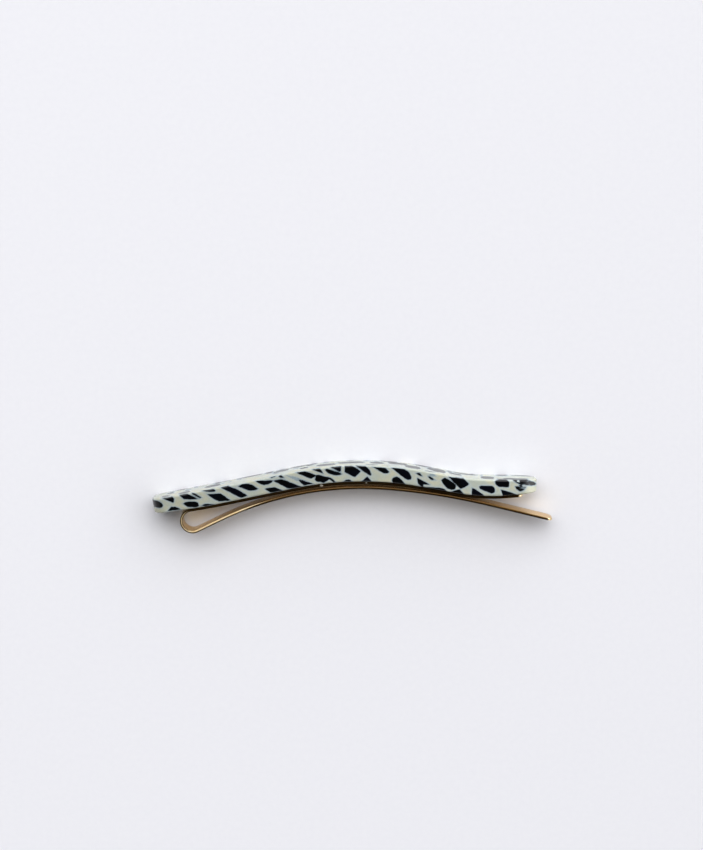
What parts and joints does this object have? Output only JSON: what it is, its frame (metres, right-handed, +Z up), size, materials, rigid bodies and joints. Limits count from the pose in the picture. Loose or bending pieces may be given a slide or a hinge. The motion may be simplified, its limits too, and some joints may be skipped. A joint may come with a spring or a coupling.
{
  "type": "hair slide",
  "caption": "Arched hair slide: a slim polished acetate bar with a mosaic pattern, bonded to a gilt flat spring clip that is folded at one end and open at the other.",
  "frame": {"origin": "under the middle of the slide, on the surface that it lies on", "axes": "+X along the slide from the clip's loop to its open mouth, +Y from the clip to the bar's outer face, +Z up across the bar's width: the slide lies on one long side"},
  "size_m": [0.0805, 0.014, 0.0065],
  "materials": {
    "mosaic_acetate": "polished cream acetate with black flakes",
    "gilt_spring_steel": "pale gilt plating on rolled spring steel",
    "clear_adhesive": "cured clear adhesive"
  },
  "bodies": {
    "root": {"acetate_bar": "mosaic_acetate", "spring_clip": "gilt_spring_steel", "adhesive_film": "clear_adhesive"}
  },
  "joints": []
}
